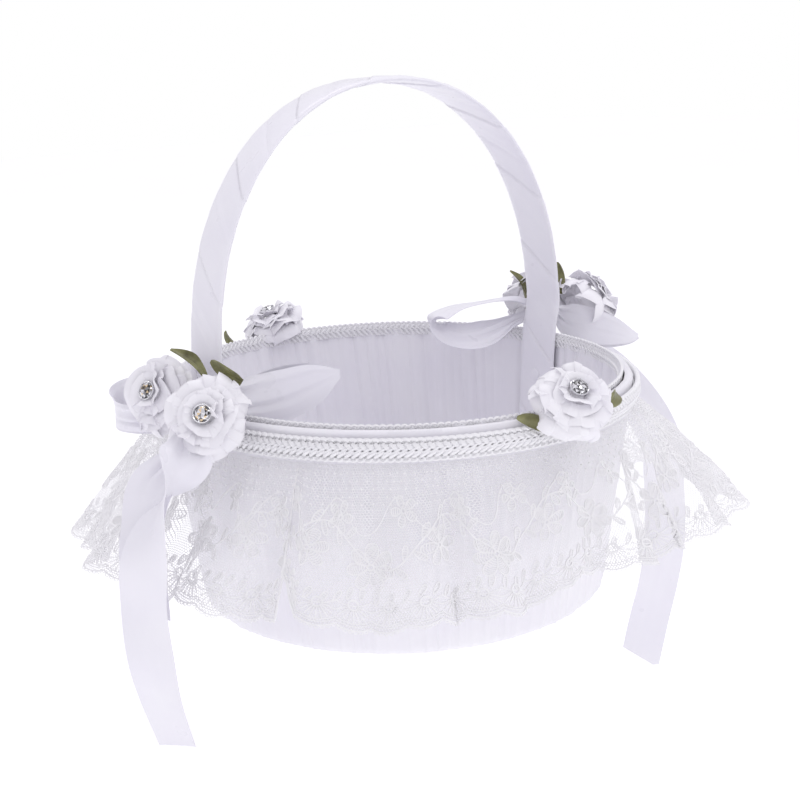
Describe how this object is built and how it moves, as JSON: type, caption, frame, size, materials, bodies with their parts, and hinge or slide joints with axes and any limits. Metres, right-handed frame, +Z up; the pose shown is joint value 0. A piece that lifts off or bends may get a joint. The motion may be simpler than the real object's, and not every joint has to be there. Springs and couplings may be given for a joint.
{
  "type": "flower girl basket",
  "caption": "Oval satin basket with a fixed wrapped arch handle, gathered lace ruffle, gimp braids, ribbon bows with hanging tails and ribbon roses.",
  "frame": {"origin": "middle of the underside of the handle's arch, where a hand carries the basket", "axes": "+Z up, +X along the handle's span from the front bow to the rear bow, +Y across the basket to the far side rose"},
  "size_m": [0.3184, 0.2839, 0.3097],
  "materials": {
    "satin": "cool white polyester satin, soft sheen",
    "ribbon": "single-faced white satin ribbon, glossy",
    "rose_ribbon": "gathered white satin ribbon",
    "braid": "matte twisted gimp cord",
    "lace": "sheer net lace with thread motifs",
    "leaf_ribbon": "olive satin ribbon",
    "card": "stiff uncoated board",
    "setting_metal": "bright silver plate",
    "crystal": "faceted foiled crystal",
    "rivet_metal": "plated steel"
  },
  "bodies": {
    "basket": {"outer_satin_cover": "satin", "base_satin_cover": "satin", "base_board": "card", "wall_shell": "card", "inner_satin_lining": "satin", "floor_pad": "satin", "inner_gimp_braid": "braid", "outer_gimp_braid": "braid", "lace_heading_tape": "braid", "lace_ruffle": "lace", "handle_core_strip": "card", "handle_satin_wrap": "satin", "handle_rivet_front_1": "rivet_metal", "handle_rivet_front_2": "rivet_metal", "front_bow_knot": "ribbon", "front_bow_inner_loop": "ribbon", "front_bow_outer_loop": "ribbon", "handle_rivet_rear_1": "rivet_metal", "handle_rivet_rear_2": "rivet_metal", "rear_bow_knot": "ribbon", "rear_bow_inner_loop": "ribbon", "rear_bow_outer_loop": "ribbon", "rose_front_right": "rose_ribbon", "setting_front_right": "setting_metal", "rhinestone_front_right": "crystal", "rose_front_left": "rose_ribbon", "setting_front_left": "setting_metal", "rhinestone_front_left": "crystal", "rose_side_near": "rose_ribbon", "setting_side_near": "setting_metal", "rhinestone_side_near": "crystal", "rose_side_far": "rose_ribbon", "setting_side_far": "setting_metal", "rhinestone_side_far": "crystal", "rose_rear_right": "rose_ribbon", "setting_rear_right": "setting_metal", "rhinestone_rear_right": "crystal", "rose_rear_left": "rose_ribbon", "setting_rear_left": "setting_metal", "rhinestone_rear_left": "crystal", "leaf_front_left": "leaf_ribbon", "leaf_front_right": "leaf_ribbon", "leaf_near_left": "leaf_ribbon", "leaf_near_right": "leaf_ribbon", "leaf_far_left": "leaf_ribbon", "leaf_rear_left": "leaf_ribbon", "leaf_rear_right": "leaf_ribbon"},
    "front_tails": {"front_tail_long": "ribbon", "front_tail_short": "ribbon"},
    "rear_tails": {"rear_tail_long": "ribbon", "rear_tail_short": "ribbon"}
  },
  "joints": [
    {"name": "front_tails_swing", "type": "hinge", "parent": "basket", "child": "front_tails", "pos_m": [-0.131, -0.012, -0.1486], "axis": [0, 1, 0], "range_deg": [0, 50]},
    {"name": "rear_tails_swing", "type": "hinge", "parent": "basket", "child": "rear_tails", "pos_m": [0.124, 0.012, -0.1436], "axis": [0, -1, 0], "range_deg": [0, 50]}
  ]
}
